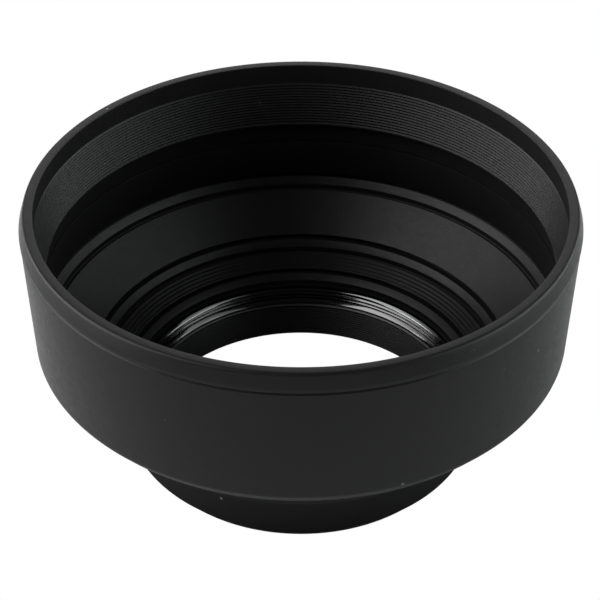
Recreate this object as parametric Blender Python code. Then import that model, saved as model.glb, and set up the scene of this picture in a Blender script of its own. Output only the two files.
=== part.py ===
"""A collapsible rubber lens hood for a 58 mm filter thread, at full extension, in metres.

The origin is the centre of the rear end of the male thread, and +Z runs forward along the
optical axis.  Every sub-part is a body of revolution: a closed outline in (radius, height)
turned about Z.  The hood is one rubber moulding held on a two-piece mount.  The moulding is
divided here at its own fold lines, so that its three stages can slide into each other.
"""

import math

import bmesh
import bpy

MM = 0.001
SEGMENTS = 48             # flat sides round each turned piece
GAP = 0.3 * MM            # clear space between touching pieces

# The mount: a 58 mm thread behind and in front.
THREAD_R = 29.0 * MM      # male thread, outside
THREAD_DEPTH = 0.4 * MM   # crest to root of the front thread
THREAD_PITCH = 0.75 * MM
SHOULDER_Z = 2.9 * MM     # where the mount stops against the lens
FLANGE_R = 30.0 * MM
FLANGE_TOP_Z = 3.7 * MM
WAIST_R = 29.2 * MM
THROAT_R = 27.6 * MM
THROAT_TOP_Z = 7.1 * MM
SEAT_Z = 9.6 * MM         # the face a filter stops against
SKIRT_Z = 5.2 * MM        # lower end of the clamp ring's skirt

# The rubber neck and the lip that laps over the mount.
NECK_R = 31.3 * MM
NECK_BORE_R = FLANGE_R + GAP
BEAD_TOP_Z = SKIRT_Z - GAP
LIP_INNER = (30.1 * MM, 10.25 * MM)
LIP_EDGE = (30.2 * MM, 11.05 * MM)
LIP_OUTER = (31.4 * MM, 11.9 * MM)

# The funnel: its upper face, from the collar out to the shade, and its wall.
REAR_CONE_IN = (32.15 * MM, 12.65 * MM)
REAR_CONE_OUT = (35.4 * MM, 14.85 * MM)
MIDDLE_IN = (35.65 * MM, 15.05 * MM)
MIDDLE_OUT = (36.6 * MM, 16.1 * MM)
FRONT_CONE_IN = (37.35 * MM, 17.0 * MM)
FRONT_CONE_OUT = (44.0 * MM, 22.95 * MM)
FOLD_RING_IN = (44.7 * MM, 23.85 * MM)
FOLD_RING_OUT = (45.45 * MM, 24.95 * MM)
CONE_WALL = 1.1 * MM
REAR_RIBS = 7
REAR_RIB_DEPTH = 0.25 * MM
WEB_WALL = 0.5 * MM       # rubber left under a fold groove
WEB_DEPTH = 0.4 * MM      # how far a web lies below the funnel's face

# The shade: a slightly flared drum with a thick ribbed front.
RIM_Z = 50.1 * MM
RIM_R = 47.5 * MM
RIM_INNER_R = 44.9 * MM
SHOULDER_ROUND = 1.1 * MM
FOOT_Z = 25.25 * MM
FOOT_R = 46.42 * MM
FOOT_INNER_R = 45.5 * MM
OUTER_GROOVE_Z = 46.7 * MM
OUTER_GROOVE_WIDTH = 0.4 * MM
OUTER_GROOVE_DEPTH = 0.3 * MM
RIBS_TOP = (45.0 * MM, 45.8 * MM)
RIBS_FOOT = (43.65 * MM, 38.0 * MM)
STEP_FOOT = (44.2 * MM, 37.7 * MM)
SHADE_RIBS = 14
SHADE_RIB_DEPTH = 0.25 * MM
INNER_LINE_Z = 33.9 * MM
INNER_LINE_WIDTH = 0.4 * MM
INNER_LINE_DEPTH = 0.15 * MM


def along(start, end, share):
    """The point this share of the way from start to end."""
    return (start[0] + (end[0] - start[0]) * share, start[1] + (end[1] - start[1]) * share)


def sunk(start, end, point, depth):
    """The point moved by depth to the left of the way from start to end."""
    dr = end[0] - start[0]
    dz = end[1] - start[1]
    length = math.hypot(dr, dz)
    return (point[0] - dz / length * depth, point[1] + dr / length * depth)


def ridged(start, end, ribs, depth):
    """A line of V ribs: crests on the line from start to end, valleys sunk to its left."""
    points = []
    for rib in range(ribs):
        points.append(along(start, end, rib / ribs))
        valley = along(start, end, (rib + 0.5) / ribs)
        points.append(sunk(start, end, valley, depth))
    points.append(end)
    return points


def groove(start, end, z, width, depth):
    """Three points of a V groove at height z in the line from start to end, sunk to its left."""
    span = end[1] - start[1]
    sign = math.copysign(0.5, span)
    middle = along(start, end, (z - start[1]) / span)
    before = along(start, end, (z - sign * width - start[1]) / span)
    after = along(start, end, (z + sign * width - start[1]) / span)
    return [before, sunk(start, end, middle, depth), after]


def band(start, end, wall, depth=0.0):
    """A flat strip of rubber under the line from start to end, running outwards."""
    top = [sunk(start, end, point, -depth) for point in (start, end)]
    under = [sunk(start, end, point, -depth - wall) for point in (end, start)]
    return top + under


def web(start, end):
    """The thin web left under a fold groove, clear of the pieces at both its ends."""
    share = GAP / math.dist(start, end)
    return band(along(start, end, share), along(start, end, 1 - share), WEB_WALL, WEB_DEPTH)


def material(name, colour, roughness, metallic):
    made = bpy.data.materials.new(name)
    made.use_nodes = True
    shader = made.node_tree.nodes["Principled BSDF"]
    shader.inputs["Base Color"].default_value = (*colour, 1.0)
    shader.inputs["Roughness"].default_value = roughness
    shader.inputs["Metallic"].default_value = metallic
    return made


def turned(name, outline, finish, parent):
    """The closed outline of (radius, height) points, spun once round Z."""
    shape = bmesh.new()
    points = [shape.verts.new((radius, 0.0, height)) for radius, height in outline]
    edges = [shape.edges.new((points[i - 1], points[i])) for i in range(len(points))]
    bmesh.ops.spin(
        shape, geom=points + edges, cent=(0, 0, 0), axis=(0, 0, 1),
        angle=math.tau, steps=SEGMENTS, use_merge=True)
    bmesh.ops.recalc_face_normals(shape, faces=shape.faces)
    mesh = bpy.data.meshes.new(name)
    shape.to_mesh(mesh)
    shape.free()
    mesh.materials.append(finish)
    mesh.shade_smooth()
    mesh.set_sharp_from_angle(angle=math.radians(25))
    made = bpy.data.objects.new(name, mesh)
    made.parent = parent
    bpy.context.collection.objects.link(made)
    return made


def stage(name):
    """An empty on the optical axis that carries the pieces which slide together."""
    made = bpy.data.objects.new(name, None)
    bpy.context.collection.objects.link(made)
    return made


def mount_ring_outline():
    relief_r = THREAD_R - 0.6 * MM
    undercut = 0.35 * MM
    lead = 0.35 * MM
    return [
        (WAIST_R, THROAT_TOP_Z),
        (WAIST_R, FLANGE_TOP_Z),
        (FLANGE_R, FLANGE_TOP_Z),
        (FLANGE_R, SHOULDER_Z),
        (THREAD_R + 0.05 * MM, SHOULDER_Z),
        (relief_r, SHOULDER_Z - undercut),
        (relief_r, SHOULDER_Z - 0.5 * MM),
        (THREAD_R, SHOULDER_Z - 0.8 * MM),
        (THREAD_R, lead),
        (THREAD_R - lead, 0.0),
        (THROAT_R, 0.0),
        (THROAT_R, THROAT_TOP_Z),
    ]


def filter_ring_outline():
    """The clamp ring: a skirt round the mount's waist, and the front thread above it."""
    skirt_r = WAIST_R + GAP
    floor_z = THROAT_TOP_Z + GAP
    crests = 2
    crest_r = THREAD_R - THREAD_DEPTH
    points = [
        (FLANGE_R, SEAT_Z),
        (FLANGE_R, SKIRT_Z),
        (skirt_r, SKIRT_Z),
        (skirt_r, floor_z),
        (THREAD_R, floor_z),
    ]
    first_z = floor_z + 0.3 * MM
    for crest in range(crests):
        root_z = first_z + crest * THREAD_PITCH
        points.append((THREAD_R, root_z))
        points.append((crest_r, root_z + THREAD_PITCH / 2))
    mouth_z = first_z + crests * THREAD_PITCH
    points.append((THREAD_R, mouth_z))
    points.append((THREAD_R + 0.3 * MM, SEAT_Z))
    return points


def collar_outline():
    """The neck, with a bead gripped between the metal rings and a lip over their front."""
    chamfer = 0.3 * MM
    bead_r = WAIST_R + GAP
    return [
        LIP_OUTER,
        (LIP_OUTER[0] + 0.25 * MM, LIP_OUTER[1] - 0.45 * MM),
        (NECK_R, LIP_OUTER[1] - 1.2 * MM),
        (NECK_R, SHOULDER_Z + chamfer),
        (NECK_R - chamfer, SHOULDER_Z),
        (NECK_BORE_R, SHOULDER_Z),
        (NECK_BORE_R, FLANGE_TOP_Z + GAP),
        (bead_r, FLANGE_TOP_Z + GAP),
        (bead_r, BEAD_TOP_Z),
        (NECK_BORE_R, BEAD_TOP_Z),
        (NECK_BORE_R, SEAT_Z + GAP),
        (LIP_INNER[0], SEAT_Z + GAP),
        LIP_INNER,
        LIP_EDGE,
    ]


def rear_fold_cone_outline():
    crests = ridged(REAR_CONE_OUT, REAR_CONE_IN, REAR_RIBS, REAR_RIB_DEPTH)
    return crests + band(REAR_CONE_IN, REAR_CONE_OUT, CONE_WALL)[2:][::-1]


def fold_ring_outline():
    """The narrow ring that turns the shade's wall inwards into the front cone."""
    under_r = FOOT_R - 0.9 * MM
    return [
        FOLD_RING_OUT,
        (FOOT_R, FOLD_RING_OUT[1]),
        (FOOT_R - 0.05 * MM, FOLD_RING_OUT[1] - 0.45 * MM),
        (FOOT_R - 0.3 * MM, FOLD_RING_OUT[1] - 0.95 * MM),
        (under_r, FOLD_RING_IN[1] - 0.75 * MM),
        FOLD_RING_IN,
    ]


def front_shade_outline():
    shoulder_z = RIM_Z - SHOULDER_ROUND
    flat_r = RIM_R - SHOULDER_ROUND
    points = [(RIM_INNER_R, RIM_Z)]
    for angle in (90, 60, 30, 0):
        turn = math.radians(angle)
        points.append((flat_r + SHOULDER_ROUND * math.cos(turn),
                       shoulder_z + SHOULDER_ROUND * math.sin(turn)))
    top = (RIM_R, shoulder_z)
    foot = (FOOT_R, FOOT_Z)
    points += groove(top, foot, OUTER_GROOVE_Z, OUTER_GROOVE_WIDTH, -OUTER_GROOVE_DEPTH)
    inner_foot = (FOOT_INNER_R, FOOT_Z)
    points += [foot, inner_foot]
    points += groove(inner_foot, STEP_FOOT, INNER_LINE_Z, INNER_LINE_WIDTH, -INNER_LINE_DEPTH)
    points.append(STEP_FOOT)
    points += ridged(RIBS_FOOT, RIBS_TOP, SHADE_RIBS, -SHADE_RIB_DEPTH)
    return points


def main():
    for old in list(bpy.data.objects):
        bpy.data.objects.remove(old, do_unlink=True)

    rubber = material("black_rubber", (0.020, 0.020, 0.021), 0.62, 0.0)
    matt_metal = material("matt_black_aluminium", (0.020, 0.020, 0.022), 0.45, 0.6)
    gloss_metal = material("gloss_black_aluminium", (0.010, 0.010, 0.011), 0.22, 0.8)

    mount = stage("mount_stage")
    middle = stage("middle_stage")
    shade = stage("shade_stage")
    middle.parent = mount
    shade.parent = middle

    turned("mount_ring", mount_ring_outline(), matt_metal, mount)
    turned("filter_ring", filter_ring_outline(), gloss_metal, mount)
    turned("collar", collar_outline(), rubber, mount)
    turned("rear_hinge", web(LIP_OUTER, REAR_CONE_IN), rubber, mount)
    turned("rear_fold_cone", rear_fold_cone_outline(), rubber, mount)

    turned("middle_ring", band(MIDDLE_IN, MIDDLE_OUT, CONE_WALL), rubber, middle)
    turned("middle_hinge", web(MIDDLE_OUT, FRONT_CONE_IN), rubber, middle)
    turned("front_fold_cone", band(FRONT_CONE_IN, FRONT_CONE_OUT, CONE_WALL), rubber, middle)

    turned("front_hinge", web(FRONT_CONE_OUT, FOLD_RING_IN), rubber, shade)
    turned("fold_ring", fold_ring_outline(), rubber, shade)
    turned("front_shade", front_shade_outline(), rubber, shade)


main()
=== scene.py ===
"""The finished look of the collapsible rubber lens hood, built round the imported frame."""

import math

import bpy
import numpy as np
from mathutils import Matrix, Vector


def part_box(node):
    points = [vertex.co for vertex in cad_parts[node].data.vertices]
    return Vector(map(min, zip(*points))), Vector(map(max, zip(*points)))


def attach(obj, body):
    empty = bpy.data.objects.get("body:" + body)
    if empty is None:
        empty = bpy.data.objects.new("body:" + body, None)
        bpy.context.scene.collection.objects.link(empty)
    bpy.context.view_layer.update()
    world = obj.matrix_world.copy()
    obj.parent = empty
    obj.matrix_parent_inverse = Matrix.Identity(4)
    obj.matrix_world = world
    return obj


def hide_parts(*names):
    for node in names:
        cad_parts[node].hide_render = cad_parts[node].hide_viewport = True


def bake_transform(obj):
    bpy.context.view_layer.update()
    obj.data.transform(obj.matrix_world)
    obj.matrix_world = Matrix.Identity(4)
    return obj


MM = 0.001
SEGMENTS = 360            # steps round each turned piece
ARC_STEPS = 4             # steps in a rounded corner
FINE = 0.1 * MM           # a corner rounded this much or less takes half as many
STRAIGHT = math.radians(88)   # half angle from which a corner is too flat to round
MAX_REACH = 0.49          # share of a side that a rounding may use up

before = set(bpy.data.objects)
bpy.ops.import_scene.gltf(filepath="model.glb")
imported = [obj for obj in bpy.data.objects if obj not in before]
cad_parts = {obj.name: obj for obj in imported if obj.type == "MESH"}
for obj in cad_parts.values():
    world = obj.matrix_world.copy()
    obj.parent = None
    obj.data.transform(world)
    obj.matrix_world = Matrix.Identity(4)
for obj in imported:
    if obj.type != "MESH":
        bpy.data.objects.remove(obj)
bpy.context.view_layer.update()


# ---------------------------------------------------------------- places from the frame

_, shade_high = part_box("front_shade")
ring_low, ring_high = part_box("mount_ring")
clamp_low, clamp_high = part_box("filter_ring")
neck_low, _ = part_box("collar")

RIM_R = shade_high.x
RIM_Z = shade_high.z
NECK_Z = neck_low.z
FLANGE_R = ring_high.x
THROAT_TOP_Z = ring_high.z
SKIRT_Z = clamp_low.z
SEAT_Z = clamp_high.z
BEHIND_Z = ring_low.z

# The funnel's face, from the collar outwards, as (radius, height).
LIP_INNER = (30.1 * MM, 10.25 * MM)
LIP_EDGE = (30.2 * MM, 11.05 * MM)
LIP_OUTER = (31.4 * MM, 11.9 * MM)
REAR_CONE_IN = (31.88 * MM, 12.47 * MM)
REAR_CONE_OUT = (34.95 * MM, 14.55 * MM)
MIDDLE_IN = (35.65 * MM, 15.05 * MM)
MIDDLE_OUT = (36.65 * MM, 16.15 * MM)
FRONT_CONE_IN = (37.2 * MM, 16.87 * MM)
FRONT_CONE_OUT = (44.0 * MM, 22.95 * MM)
FOLD_RING_IN = (44.62 * MM, 23.75 * MM)
FOLD_RING_OUT = (45.75 * MM, 24.92 * MM)
CONE_WALL = 0.6 * MM
GROOVE_DEPTH = 1.2 * MM   # depth of a fold groove
GROOVE_FLOOR = 0.78       # where its floor lies, as a share of the way from ring to cone
GROOVE_TUCK = 0.3 * MM    # how far a groove's floor runs on inside the cone's wall
RIB_DEPTH = 0.13 * MM     # depth of the rear cone's ribs
THREAD_R = 29.0 * MM      # both threads are M58 x 0.75
THREAD_PITCH = 0.75 * MM
THREAD_ROWS = 24          # rows of points in one pitch
ON_THREAD = 1e-7          # how near to the thread's radius a point counts as on it


# ---------------------------------------------------------------- outlines

def rounded(corners):
    """The closed outline through (radius, height, rounding) corners, as an array of points."""
    points = []
    count = len(corners)
    for i, (r, z, rounding) in enumerate(corners):
        here = np.array((r, z))
        before = np.array(corners[i - 1][:2]) - here
        after = np.array(corners[(i + 1) % count][:2]) - here
        reach_before = np.linalg.norm(before)
        reach_after = np.linalg.norm(after)
        before /= reach_before
        after /= reach_after
        half = math.acos(max(-1.0, min(1.0, float(before @ after)))) / 2
        if rounding <= 0 or half > STRAIGHT:
            points.append(here)
            continue
        reach = min(rounding / math.tan(half), MAX_REACH * reach_before,
                    MAX_REACH * reach_after)
        start = here + before * reach
        end = here + after * reach
        steps = ARC_STEPS if rounding > FINE else ARC_STEPS // 2
        for step in range(steps + 1):
            t = step / steps
            points.append((1 - t) ** 2 * start + 2 * t * (1 - t) * here + t * t * end)
    return np.array(points)


def along(start, end):
    """The unit way from start to end, and the unit way at its right."""
    way = np.array(end) - np.array(start)
    way /= np.linalg.norm(way)
    return way, np.array((way[1], -way[0]))


def ribs(start, end, count, depth, rounding):
    """Corners of V ribs from start to end; valleys are sunk to the right of that way."""
    side = along(start, end)[1]
    start = np.array(start)
    end = np.array(end)
    corners = []
    for rib in range(count):
        crest = start + (end - start) * rib / count
        valley = start + (end - start) * (rib + 0.5) / count + side * depth
        corners.append((*crest, rounding))
        corners.append((*valley, rounding * 0.6))
    corners.append((*end, rounding))
    return corners


def fold_groove(ring_edge, cone_edge, depth=GROOVE_DEPTH, rounding=0.16 * MM):
    """Corners of the V groove from a ring's edge to a cone's. Its floor ends as a tongue
    inside the cone's wall, so that nothing shows between the two."""
    way, down = along(ring_edge, cone_edge)
    if down[1] > 0:
        down = -down
    ring_edge = np.array(ring_edge)
    floor = ring_edge + GROOVE_FLOOR * (np.array(cone_edge) - ring_edge)
    tongue = np.array(cone_edge) + GROOVE_TUCK * way
    return [
        (*ring_edge, rounding),
        (*(floor + depth * down), 0.1 * MM),
        (*(tongue + 0.3 * CONE_WALL * down), 0.05 * MM),
        (*(tongue + 0.8 * CONE_WALL * down), 0.05 * MM),
        (*(floor + (depth + 0.2 * MM) * down), 0.1 * MM),
    ]


# ---------------------------------------------------------------- meshes

def add_object(name, points, faces, finish):
    mesh = bpy.data.meshes.new(name)
    mesh.from_pydata(points.tolist(), [], faces.tolist())
    mesh.materials.append(finish)
    mesh.shade_smooth()
    made = bpy.data.objects.new(name, mesh)
    bpy.context.scene.collection.objects.link(made)
    return made


def grid_faces(rows, closed):
    """Quads between neighbouring rows of SEGMENTS points, each row running round Z."""
    last = rows if closed else rows - 1
    a = np.arange(last)[:, None]
    j = np.arange(SEGMENTS)[None, :]
    below = (a + 1) % rows
    right = (j + 1) % SEGMENTS
    quads = (a * SEGMENTS + j, below * SEGMENTS + j, below * SEGMENTS + right,
             a * SEGMENTS + right)
    return np.stack(np.broadcast_arrays(*quads), axis=-1).reshape(-1, 4)


def spun(outline, thread=None):
    """Points of the outline at each step round Z. thread is the share of a screw thread's
    full depth at each point: flanks at 60 degrees, with a flat crest and a flat root."""
    angle = np.linspace(0, math.tau, SEGMENTS, endpoint=False)[None, :]
    r = np.repeat(outline[:, :1], SEGMENTS, axis=1)
    z = np.repeat(outline[:, 1:2], SEGMENTS, axis=1)
    if thread is not None:
        turn = (z / THREAD_PITCH - angle / math.tau) % 1.0
        sharp = THREAD_PITCH * math.sin(math.radians(60))
        wave = sharp * (1 - np.abs(2 * turn - 1))
        r = r - thread[:, None] * np.clip(wave - sharp / 8, 0, sharp * 5 / 8)
    return np.stack((r * np.cos(angle), r * np.sin(angle), z), axis=-1).reshape(-1, 3)


def turned(name, outline, finish, thread=None):
    """A closed body of revolution. The outline runs down its outer side and up its inner one."""
    return add_object(name, spun(outline, thread), grid_faces(len(outline), True), finish)


def threaded(outline, radius, low, high, run_out):
    """The outline with fine rows on its straight stretch at this radius, between heights low
    and high, and the share of the thread's depth at each point. The thread fades in and out
    over run_out."""
    points = []
    shares = []
    for here, after in zip(outline, np.roll(outline, -1, axis=0)):
        points.append(tuple(here))
        shares.append(0.0)
        if max(abs(here[0] - radius), abs(after[0] - radius)) > ON_THREAD:
            continue
        rows = np.linspace(low, high, round((high - low) / THREAD_PITCH * THREAD_ROWS))[1:-1]
        for z in rows if after[1] > here[1] else rows[::-1]:
            points.append((radius, z))
            shares.append(min(1.0, (z - low) / run_out, (high - z) / run_out))
    return np.array(points), np.array(shares)


def cone_sheet(name, start, end, relief, finish):
    """The face of a folding cone as a sheet, outwards from start to end. Its wall and ribs
    come from modifiers, so they keep their size and side on whatever shape the sheet takes.
    relief is how deep the face lies in each row, in rib depths."""
    points = spun(np.linspace(start, end, len(relief)))
    sheet = add_object(name, points, grid_faces(len(relief), False), finish)
    group = sheet.vertex_groups.new(name="relief")
    for row, depth in enumerate(relief):
        first = row * SEGMENTS
        group.add(list(range(first, first + SEGMENTS)), depth, "REPLACE")
    sheet.vertex_groups.new(name="underside")

    wall = sheet.modifiers.new("wall", "SOLIDIFY")
    wall.thickness = CONE_WALL
    wall.offset = -1.0
    wall.use_even_offset = True
    wall.shell_vertex_group = "underside"

    top_only = sheet.modifiers.new("top_only", "VERTEX_WEIGHT_MIX")
    top_only.vertex_group_a = "relief"
    top_only.vertex_group_b = "underside"
    top_only.mix_set = "ALL"
    top_only.mix_mode = "SUB"

    carve = sheet.modifiers.new("carve", "DISPLACE")
    carve.vertex_group = "relief"
    carve.mid_level = 0.0
    carve.strength = -RIB_DEPTH

    edges = sheet.modifiers.new("edges", "BEVEL")
    edges.width = 0.12 * MM
    edges.segments = 2
    edges.limit_method = "ANGLE"
    edges.angle_limit = math.radians(60)
    return sheet


# ---------------------------------------------------------------- materials

def new_material(name, specular):
    """A material whose colour and roughness are linked later, its node tree and its shader."""
    made = bpy.data.materials.new(name)
    made.use_nodes = True
    tree = made.node_tree
    shader = tree.nodes["Principled BSDF"]
    shader.inputs["Specular IOR Level"].default_value = specular
    return made, tree, shader


def noise(tree, scale, detail=2.0):
    place = tree.nodes.new("ShaderNodeTexCoord")
    made = tree.nodes.new("ShaderNodeTexNoise")
    made.inputs["Scale"].default_value = scale
    made.inputs["Detail"].default_value = detail
    tree.links.new(place.outputs["Object"], made.inputs["Vector"])
    return made.outputs["Fac"]


def mapped(tree, value, low, high, start=0.35, end=0.65):
    """The value, whose range start to end is stretched to low to high."""
    made = tree.nodes.new("ShaderNodeMapRange")
    made.inputs["From Min"].default_value = start
    made.inputs["From Max"].default_value = end
    made.inputs["To Min"].default_value = low
    made.inputs["To Max"].default_value = high
    tree.links.new(value, made.inputs["Value"])
    return made.outputs["Result"]


def mixed(tree, share, first, second):
    """A colour between first and second, each a colour or a socket."""
    made = tree.nodes.new("ShaderNodeMix")
    made.data_type = "RGBA"
    tree.links.new(share, made.inputs["Factor"])
    for socket, colour in ((made.inputs["A"], first), (made.inputs["B"], second)):
        if isinstance(colour, tuple):
            socket.default_value = (*colour, 1.0)
        else:
            tree.links.new(colour, socket)
    return made.outputs["Result"]


def bumped(tree, shader, height, distance, strength):
    made = tree.nodes.new("ShaderNodeBump")
    made.inputs["Distance"].default_value = distance
    made.inputs["Strength"].default_value = strength
    tree.links.new(height, made.inputs["Height"])
    tree.links.new(made.outputs["Normal"], shader.inputs["Normal"])


def dust(tree, cells, size, share):
    """1 on a few small specks, 0 elsewhere: one speck in each of a share of the cells. size
    is a speck's radius in cells."""
    place = tree.nodes.new("ShaderNodeTexCoord")
    spots = tree.nodes.new("ShaderNodeTexVoronoi")
    spots.inputs["Scale"].default_value = cells
    tree.links.new(place.outputs["Object"], spots.inputs["Vector"])
    near = mapped(tree, spots.outputs["Distance"], 1.0, 0.0, size * 0.5, size)
    pick = tree.nodes.new("ShaderNodeSeparateColor")
    tree.links.new(spots.outputs["Color"], pick.inputs["Color"])
    chosen = mapped(tree, pick.outputs["Red"], 0.0, 1.0, 1.0 - share, 1.0 - share + 0.01)
    both = tree.nodes.new("ShaderNodeMath")
    both.operation = "MULTIPLY"
    tree.links.new(near, both.inputs[0])
    tree.links.new(chosen, both.inputs[1])
    return both.outputs["Value"]


def black_rubber():
    made, tree, shader = new_material("black_rubber", specular=0.125)
    mottle = mixed(tree, noise(tree, 350), (0.0050, 0.0049, 0.0049), (0.0062, 0.0061, 0.0061))
    specks = dust(tree, cells=150, size=0.05, share=0.6)
    colour = mixed(tree, specks, mottle, (0.09, 0.09, 0.09))
    roughness = mapped(tree, noise(tree, 900, 4), low=0.36, high=0.42)
    tree.links.new(colour, shader.inputs["Base Color"])
    tree.links.new(roughness, shader.inputs["Roughness"])
    bumped(tree, shader, noise(tree, 3200, 4), distance=0.06 * MM, strength=0.5)
    return made


def matt_aluminium():
    made, tree, shader = new_material("matt_black_aluminium", specular=0.3)
    colour = mixed(tree, noise(tree, 400), (0.0130, 0.0130, 0.0130), (0.0150, 0.0150, 0.0150))
    roughness = mapped(tree, noise(tree, 900, 4), low=0.32, high=0.40)
    tree.links.new(colour, shader.inputs["Base Color"])
    tree.links.new(roughness, shader.inputs["Roughness"])
    bumped(tree, shader, noise(tree, 9000, 2), distance=0.008 * MM, strength=0.4)
    return made


def gloss_aluminium():
    made, tree, shader = new_material("gloss_black_aluminium", specular=0.9)
    colour = mixed(tree, noise(tree, 400), (0.0005, 0.0005, 0.0005), (0.001, 0.001, 0.001))
    roughness = mapped(tree, noise(tree, 1200, 3), low=0.08, high=0.13)
    tree.links.new(colour, shader.inputs["Base Color"])
    tree.links.new(roughness, shader.inputs["Roughness"])
    bumped(tree, shader, noise(tree, 5000, 2), distance=0.002 * MM, strength=0.3)
    return made


rubber = black_rubber()
matt_metal = matt_aluminium()
gloss_metal = gloss_aluminium()


# ---------------------------------------------------------------- the metal mount

def build_mount_ring():
    """The throat with its fine lines, the shoulder, and the thread that goes on the lens."""
    root_r = THREAD_R - 0.6 * MM
    waist_r = FLANGE_R - 0.8 * MM
    throat_r = 27.6 * MM
    throat_top_r = throat_r + 0.25 * MM
    rebate_r = throat_r + 0.56 * MM
    throat_low = (throat_r, BEHIND_Z + 0.35 * MM)
    throat_high = (throat_top_r, THROAT_TOP_Z - 0.65 * MM)
    flange_top = NECK_Z + 0.8 * MM
    thread_low = BEHIND_Z + 0.3 * MM
    thread_high = NECK_Z - 0.7 * MM
    corners = [
        (waist_r, THROAT_TOP_Z, 0.1 * MM),
        (waist_r, flange_top, 0.1 * MM),
        (FLANGE_R, flange_top, 0.1 * MM),
        (FLANGE_R, NECK_Z, 0.08 * MM),
        (THREAD_R + 0.05 * MM, NECK_Z, 0.04 * MM),
        (root_r, NECK_Z - 0.35 * MM, 0.1 * MM),
        (root_r, NECK_Z - 0.5 * MM, 0.1 * MM),
        (THREAD_R, thread_high, 0.0),
        (THREAD_R, thread_low, 0.0),
        (THREAD_R - 0.4 * MM, BEHIND_Z, 0.06 * MM),
        (throat_r + 0.15 * MM, BEHIND_Z, 0.08 * MM),
    ]
    corners += ribs(throat_low, throat_high, count=12, depth=0.23 * MM, rounding=0.04 * MM)
    corners += [
        (throat_top_r, THROAT_TOP_Z - 0.47 * MM, 0.04 * MM),
        (rebate_r, THROAT_TOP_Z - 0.26 * MM, 0.04 * MM),
        (rebate_r, THROAT_TOP_Z, 0.04 * MM),
    ]
    outline, shares = threaded(rounded(corners), THREAD_R, thread_low, thread_high,
                               run_out=0.2 * MM)
    return turned("mount_ring_finish", outline, matt_metal, shares)


def build_filter_ring():
    """The front thread, and the skirt that holds the rubber's bead down."""
    mouth_r = THREAD_R + 0.5 * MM
    skirt_r = FLANGE_R - 0.5 * MM
    hole_r = 28.14 * MM
    foot_z = THROAT_TOP_Z + 0.03 * MM
    floor_z = THROAT_TOP_Z + 0.15 * MM
    thread_low = floor_z + 0.5 * MM
    thread_high = SEAT_Z - 0.38 * MM
    thread_cut = 0.75         # this thread's depth, as a share of the full one
    corners = [
        (FLANGE_R, SEAT_Z, 0.06 * MM),
        (FLANGE_R, SKIRT_Z, 0.1 * MM),
        (skirt_r, SKIRT_Z, 0.1 * MM),
        (skirt_r, foot_z, 0.05 * MM),
        (hole_r, foot_z, 0.03 * MM),
        (hole_r, floor_z, 0.05 * MM),
        (THREAD_R - 0.2 * MM, thread_low, 0.05 * MM),
        (THREAD_R, thread_low, 0.0),
        (THREAD_R, thread_high, 0.0),
        (mouth_r, SEAT_Z, 0.05 * MM),
    ]
    outline, shares = threaded(rounded(corners), THREAD_R, thread_low, thread_high,
                               run_out=0.1 * MM)
    return turned("filter_ring_finish", outline, gloss_metal, thread_cut * shares)


# ---------------------------------------------------------------- the rubber moulding

def build_collar():
    """The neck, the bead that the two rings clamp, and the lip above them."""
    neck_r = 31.3 * MM
    bore_r = FLANGE_R + 0.15 * MM
    bead_r = FLANGE_R - 0.6 * MM
    bead_low = NECK_Z + 1.0 * MM
    bead_high = SKIRT_Z - 0.2 * MM
    lip_foot_r = FLANGE_R - 0.2 * MM
    lip_foot_z = SEAT_Z + 0.15 * MM
    corners = fold_groove(LIP_OUTER, REAR_CONE_IN)
    corners += [
        (LIP_OUTER[0] + 0.7 * MM, LIP_OUTER[1] - 0.9 * MM, 0.15 * MM),
        (neck_r, LIP_OUTER[1] - 1.5 * MM, 0.8 * MM),
        (neck_r, NECK_Z, 0.35 * MM),
        (bore_r, NECK_Z, 0.1 * MM),
        (bore_r, bead_low, 0.05 * MM),
        (bead_r, bead_low, 0.1 * MM),
        (bead_r, bead_high, 0.1 * MM),
        (bore_r, bead_high, 0.05 * MM),
        (bore_r, lip_foot_z, 0.05 * MM),
        (lip_foot_r, lip_foot_z, 0.1 * MM),
        (*LIP_INNER, 0.2 * MM),
        (*LIP_EDGE, 0.3 * MM),
    ]
    return turned("collar_rubber", rounded(corners), rubber)


def build_middle_ring():
    corners = fold_groove(MIDDLE_OUT, FRONT_CONE_IN)
    corners += fold_groove(MIDDLE_IN, REAR_CONE_OUT, depth=0.9 * MM)[::-1]
    return turned("middle_ring_rubber", rounded(corners), rubber)


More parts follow.
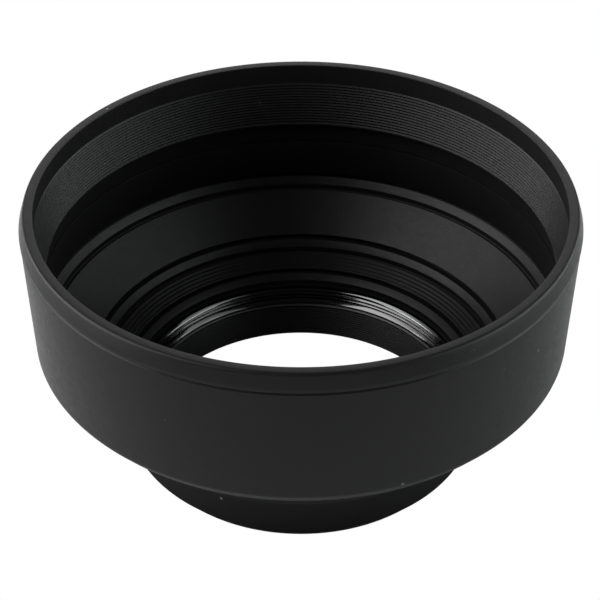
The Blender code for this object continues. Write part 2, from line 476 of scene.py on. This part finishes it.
def build_shade():
    """The drum: rim and wall outside; fold ring, plain band, slit and ribbed band inside."""
    rim_inner_r = 44.95 * MM
    line_z = 46.7 * MM            # the line groove below the rim
    foot_r = 46.42 * MM
    foot_z = 24.65 * MM
    crease_r = 46.0 * MM          # the crease between the fold ring and the plain band
    crease_z = FOLD_RING_OUT[1]
    plain_foot = (45.45 * MM, 25.75 * MM)
    slit_r = 44.6 * MM
    slit_z = 33.75 * MM
    shelf_r = 43.62 * MM          # the shelf under the ribbed band
    shelf_z = 37.7 * MM
    band_low = (43.7 * MM, 38.2 * MM)
    band_high = (45.0 * MM, 45.8 * MM)
    rim_foot = (45.3 * MM, 46.05 * MM)
    corners = [
        (rim_inner_r, RIM_Z, 0.15 * MM),
        (RIM_R - 0.75 * MM, RIM_Z, 0.7 * MM),
        (RIM_R, line_z + 0.9 * MM, 0.6 * MM),
        (RIM_R - 0.03 * MM, line_z + 0.33 * MM, 0.15 * MM),
        (RIM_R - 0.38 * MM, line_z, 0.12 * MM),
        (RIM_R - 0.13 * MM, line_z - 0.33 * MM, 0.15 * MM),
        (foot_r, foot_z, 1.6 * MM),
    ]
    corners += fold_groove(FOLD_RING_IN, FRONT_CONE_OUT, 0.6 * MM, 0.25 * MM)[::-1]
    corners += [
        (*FOLD_RING_OUT, 0.12 * MM),
        (crease_r, crease_z + 0.1 * MM, 0.05 * MM),
        (crease_r, crease_z + 0.5 * MM, 0.05 * MM),
        (*plain_foot, 0.12 * MM),
        (slit_r + 0.01 * MM, slit_z, 0.02 * MM),
        (slit_r + 0.3 * MM, slit_z - 0.3 * MM, 0.02 * MM),
        (slit_r, slit_z + 0.3 * MM, 0.02 * MM),
        (slit_r, shelf_z, 0.1 * MM),
        (shelf_r, shelf_z + 0.15 * MM, 0.12 * MM),
    ]
    corners += ribs(band_low, band_high, count=14, depth=0.28 * MM, rounding=0.07 * MM)
    corners += [(*rim_foot, 0.1 * MM)]
    return turned("shade_rubber", rounded(corners), rubber)


def build_front_cone():
    rows = 41
    cone = cone_sheet("front_cone_rubber", FRONT_CONE_IN, FRONT_CONE_OUT, [0.0] * rows, rubber)
    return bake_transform(cone)


def build_rear_cone():
    rib_count = 5
    rib_steps = 10
    relief = [0.5 + 0.5 * math.cos(math.tau * row / rib_steps)
              for row in range(rib_count * rib_steps + 1)]
    cone = cone_sheet("rear_cone_rubber", REAR_CONE_IN, REAR_CONE_OUT, relief, rubber)
    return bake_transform(cone)


def finish_piece(piece, nodes, body=None):
    if body:
        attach(piece, body)
    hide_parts(*nodes)


finish_piece(build_mount_ring(), ["mount_ring"], "mount")
finish_piece(build_filter_ring(), ["filter_ring"], "mount")
finish_piece(build_collar(), ["collar"], "mount")
finish_piece(build_rear_cone(), ["rear_fold_cone", "rear_hinge"])
finish_piece(build_middle_ring(), ["middle_ring"], "middle")
finish_piece(build_front_cone(), ["front_fold_cone", "middle_hinge", "front_hinge"])
finish_piece(build_shade(), ["front_shade", "fold_ring"], "shade")


# ---------------------------------------------------------------- floor, light and camera

def build_floor():
    """A light table: plain white to the camera. To the light it is matt and pale, with a
    soft black patch under the mount's hole, a painted shadow of the hood."""
    half = 3.0
    low = -0.05 * MM
    # Painted shadow: to the light, the floor is black under the hood and fades to pale further
    # out.
    painted_shadow_r = 29 * MM
    pale_r = 48 * MM
    black = (0.0, 0.0, 0.0)
    pale = (0.68, 0.68, 0.68)
    mesh = bpy.data.meshes.new("floor")
    mesh.from_pydata([(-half, -half, low), (half, -half, low), (half, half, low),
                      (-half, half, low)], [], [(0, 1, 2, 3)])
    made = bpy.data.objects.new("floor", mesh)
    bpy.context.scene.collection.objects.link(made)
    white = bpy.data.materials.new("light_table")
    white.use_nodes = True
    tree = white.node_tree
    shader = tree.nodes["Principled BSDF"]
    shader.inputs["Roughness"].default_value = 1.0
    shader.inputs["Specular IOR Level"].default_value = 0.0
    place = tree.nodes.new("ShaderNodeTexCoord")
    middle = tree.nodes.new("ShaderNodeVectorMath")
    middle.operation = "LENGTH"
    tree.links.new(place.outputs["Object"], middle.inputs[0])
    outside = mapped(tree, middle.outputs["Value"], 0.0, 1.0, painted_shadow_r, pale_r)
    tree.links.new(mixed(tree, outside, black, pale), shader.inputs["Base Color"])
    glow = tree.nodes.new("ShaderNodeEmission")
    ray = tree.nodes.new("ShaderNodeLightPath")
    shown = tree.nodes.new("ShaderNodeMixShader")
    tree.links.new(ray.outputs["Is Camera Ray"], shown.inputs["Fac"])
    tree.links.new(shader.outputs["BSDF"], shown.inputs[1])
    tree.links.new(glow.outputs["Emission"], shown.inputs[2])
    tree.links.new(shown.outputs["Shader"], tree.nodes["Material Output"].inputs["Surface"])
    mesh.materials.append(white)


def build_world():
    """White to the camera; to the light a dark studio."""
    dim = 0.03
    white = 1.0
    world = bpy.data.worlds.new("studio")
    bpy.context.scene.world = world
    world.use_nodes = True
    tree = world.node_tree
    background = tree.nodes["Background"]
    ray = tree.nodes.new("ShaderNodeLightPath")
    shown = tree.nodes.new("ShaderNodeMapRange")
    shown.inputs["To Min"].default_value = dim
    shown.inputs["To Max"].default_value = white
    tree.links.new(ray.outputs["Is Camera Ray"], shown.inputs["Value"])
    background.inputs["Color"].default_value = (1, 1, 1, 1)
    tree.links.new(shown.outputs["Result"], background.inputs["Strength"])


def softbox(name, low, high, radiance, colour=(1, 1, 1)):
    """A flat panel of light between two corners of a box that is flat along one axis. It
    shines to the object's side."""
    low = Vector(low)
    high = Vector(high)
    size = high - low
    centre = (low + high) / 2
    flat = min(range(3), key=lambda axis: size[axis])
    inwards = Vector([-math.copysign(1, centre[axis]) if axis == flat else 0 for axis in range(3)])
    along_x = Vector((0, 1, 0)) if flat == 0 else Vector((1, 0, 0))
    along_y = (-inwards).cross(along_x)
    data = bpy.data.lights.new(name, "AREA")
    data.shape = "RECTANGLE"
    data.size = abs(size.dot(along_x))
    data.size_y = abs(size.dot(along_y))
    data.energy = radiance * math.pi * data.size * data.size_y
    data.color = colour
    made = bpy.data.objects.new(name, data)
    made.matrix_world = (Matrix.Translation(centre)
                         @ Matrix((along_x, along_y, -inwards)).transposed().to_4x4())
    made.visible_camera = False
    bpy.context.scene.collection.objects.link(made)


def build_lights():
    """A light tent, open at the middle of its top: a bright left side, a dimmer right side,
    roof strips along both that fade towards the back, and dim panels in front and behind."""
    side = 1.0
    inner_side = 0.99         # a second panel just inside a wall makes part of it brighter
    top = 0.8
    foot = 0.04
    near = -0.5
    far = 0.85
    left = (0.98, 1.0, 0.985)
    right = (0.95, 0.99, 1.0)

    softbox("left_wall", (-side, near, foot), (-side, far, top), 7.4, left)
    softbox("left_wall_top", (-inner_side, -0.25, 0.5), (-inner_side, 0.3, top), 4.5, left)
    left_edge = -0.345
    strips = ((-0.06, 5.4), (0.06, 4.0), (0.18, 2.5), (0.32, 1.3), (0.46, 0.6))
    start = near
    for i, (end, radiance) in enumerate(strips, 1):
        softbox(f"left_roof_{i}", (-side, start, top), (left_edge, end, top), radiance, left)
        start = end

    softbox("right_wall", (side, near, foot), (side, far, top), 5.2, right)
    softbox("right_wall_low", (inner_side, near, foot), (inner_side, 0.6, 0.35), 1.8, right)
    right_edge = 0.63
    softbox("right_roof_1", (right_edge, near, top), (side, -0.1, top), 2.5, right)
    softbox("right_roof_2", (right_edge, -0.1, top), (side, 0.2, top), 1.6, right)
    softbox("right_roof_3", (0.45, near, top), (right_edge, 0.2, top), 1.0, right)

    softbox("front_wall", (-0.8, -1.0, foot), (0.8, -1.0, 0.3), 1.5)
    softbox("back_wall", (-0.7, 1.2, 0.3), (0.7, 1.2, 1.3), 2.0)


def build_camera():
    """The camera's distance, and where the rim's centre stands off its axis, are in rim
    radii, as fitted to the photo's circles."""
    elevation = math.radians(36.87)
    distance = 6.7387
    off_right = 0.0034
    off_up = 0.3577
    towards = Vector((0, math.cos(elevation), -math.sin(elevation)))
    across = Vector((1, 0, 0))
    below = Vector((0, -math.sin(elevation), -math.cos(elevation)))
    rim_centre = Vector((0, 0, RIM_Z))
    place = rim_centre - RIM_R * (off_right * across - off_up * below + distance * towards)
    data = bpy.data.cameras.new("camera")
    data.lens = 114.0
    data.sensor_width = 36.0
    data.clip_start = 0.01
    made = bpy.data.objects.new("camera", data)
    turn = Matrix((across, -below, -towards)).transposed().to_4x4()
    made.matrix_world = Matrix.Translation(place) @ turn
    bpy.context.scene.collection.objects.link(made)
    bpy.context.scene.camera = made


build_floor()
build_world()
build_lights()
build_camera()
bpy.context.scene.view_settings.view_transform = "Standard"
